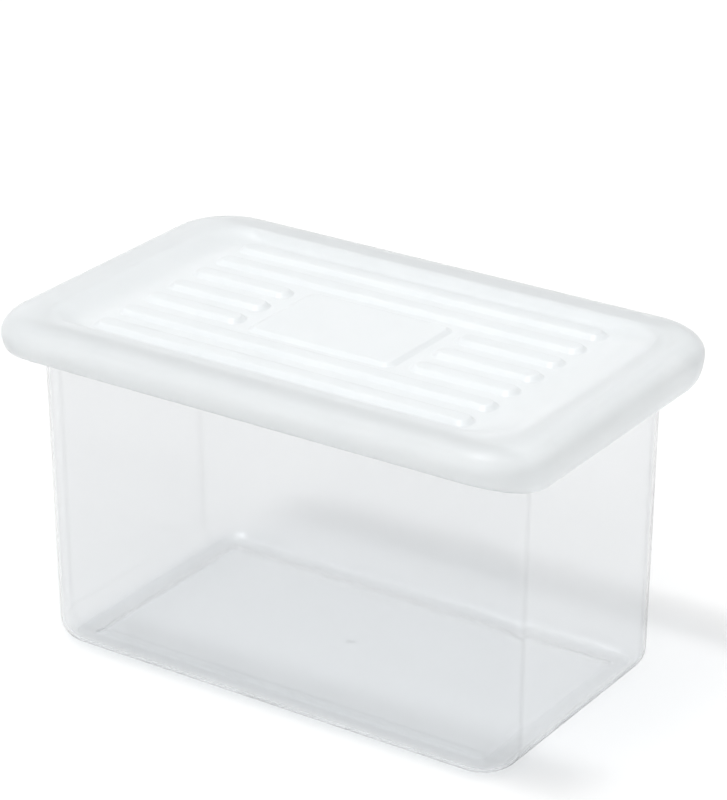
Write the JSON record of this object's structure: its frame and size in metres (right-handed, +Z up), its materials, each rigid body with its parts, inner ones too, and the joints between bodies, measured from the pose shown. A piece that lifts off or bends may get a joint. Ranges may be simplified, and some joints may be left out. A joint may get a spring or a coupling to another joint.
{
  "type": "plastic storage box",
  "caption": "Clear drafted storage tub with round corners and a translucent push-on lid with lengthwise ribs, a plain centre pad and a swelling rim that hangs deeper at the ends; the lid lifts straight off.",
  "frame": {"origin": "on the ground, under the middle of the box", "axes": "+X along the box's length, +Y across its width, +Z up"},
  "size_m": [0.4, 0.252, 0.2319],
  "materials": {
    "clear_plastic": "clear polypropylene, polished, faint cool grey",
    "milky_plastic": "translucent milky polypropylene, satin"
  },
  "bodies": {
    "tub": {"tub": "clear_plastic"},
    "lid": {"lid": "milky_plastic"}
  },
  "joints": [
    {"name": "lid_lift", "type": "slide", "parent": "tub", "child": "lid", "axis": [0, 0, 1], "range_m": [0, 0.1]}
  ]
}
